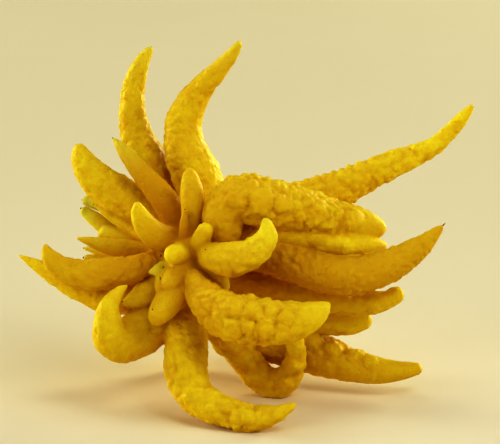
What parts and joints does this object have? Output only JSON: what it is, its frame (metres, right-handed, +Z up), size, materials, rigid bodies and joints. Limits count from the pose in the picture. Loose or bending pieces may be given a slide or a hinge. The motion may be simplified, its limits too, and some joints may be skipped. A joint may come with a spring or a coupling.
{
  "type": "buddhas hand citron",
  "caption": "Fingered citron lying on a table: a fused yellow fruit whose palm splits into long curved, partly warty fingers, with calyx and clipped stalk at the back.",
  "frame": {"origin": "on the table, under the middle of the whole fruit's bounding box", "axes": "+Z up from the table; -Y towards the heart where the fingers meet, so the stalk end is at +Y; +X towards the longest finger, on the right as seen from the heart's side"},
  "size_m": [0.232, 0.1554, 0.1776],
  "materials": {
    "rind": "waxy satin rind with fine oil glands, green at some fingertips",
    "sepal": "dry matte green calyx with brown edges",
    "wood": "dry clipped stalk, greyish bark and pale cut end"
  },
  "bodies": {
    "root": {"fruit": "rind", "calyx": "sepal", "stalk": "wood"}
  },
  "joints": []
}
